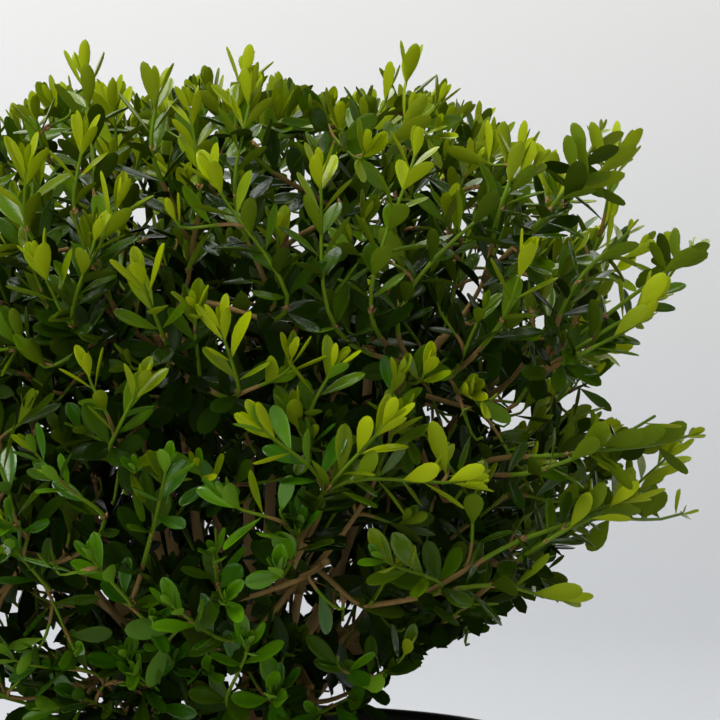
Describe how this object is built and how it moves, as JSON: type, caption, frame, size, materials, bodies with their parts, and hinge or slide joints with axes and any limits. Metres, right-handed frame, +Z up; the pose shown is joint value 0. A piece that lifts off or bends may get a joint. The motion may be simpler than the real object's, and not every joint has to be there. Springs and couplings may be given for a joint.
{
  "type": "potted box ball",
  "caption": "Evergreen box shrub grown as a loose ball on a short forking trunk, standing in a round black nursery pot filled with compost.",
  "frame": {"origin": "centre of the pot's flat underside, at the mount pot_base", "axes": "+Z up out of the pot, -Y towards the front, +X to the right when the plant is seen from the front"},
  "size_m": [0.3928, 0.3928, 0.4964],
  "materials": {
    "pot": "satin",
    "compost": "matte",
    "bark": "matte",
    "leaves": "satin"
  },
  "bodies": {
    "root": {"pot": "pot", "compost": "compost", "trunk": "bark", "bough_cap": "bark", "bough_upper_1": "bark", "bough_upper_2": "bark", "bough_upper_3": "bark", "bough_upper_4": "bark", "bough_upper_5": "bark", "bough_shoulder_1": "bark", "bough_shoulder_2": "bark", "bough_shoulder_3": "bark", "bough_shoulder_4": "bark", "bough_shoulder_5": "bark", "bough_shoulder_6": "bark", "bough_shoulder_7": "bark", "bough_waist_1": "bark", "bough_waist_2": "bark", "bough_waist_3": "bark", "bough_waist_4": "bark", "bough_waist_5": "bark", "bough_waist_6": "bark", "bough_waist_7": "bark", "bough_skirt_1": "bark", "bough_skirt_2": "bark", "bough_skirt_3": "bark", "bough_skirt_4": "bark", "bough_skirt_5": "bark", "foliage_cap": "leaves", "foliage_upper_1": "leaves", "foliage_upper_2": "leaves", "foliage_upper_3": "leaves", "foliage_upper_4": "leaves", "foliage_upper_5": "leaves", "foliage_shoulder_1": "leaves", "foliage_shoulder_2": "leaves", "foliage_shoulder_3": "leaves", "foliage_shoulder_4": "leaves", "foliage_shoulder_5": "leaves", "foliage_shoulder_6": "leaves", "foliage_shoulder_7": "leaves", "foliage_waist_1": "leaves", "foliage_waist_2": "leaves", "foliage_waist_3": "leaves", "foliage_waist_4": "leaves", "foliage_waist_5": "leaves", "foliage_waist_6": "leaves", "foliage_waist_7": "leaves", "foliage_skirt_1": "leaves", "foliage_skirt_2": "leaves", "foliage_skirt_3": "leaves", "foliage_skirt_4": "leaves", "foliage_skirt_5": "leaves"}
  },
  "joints": []
}
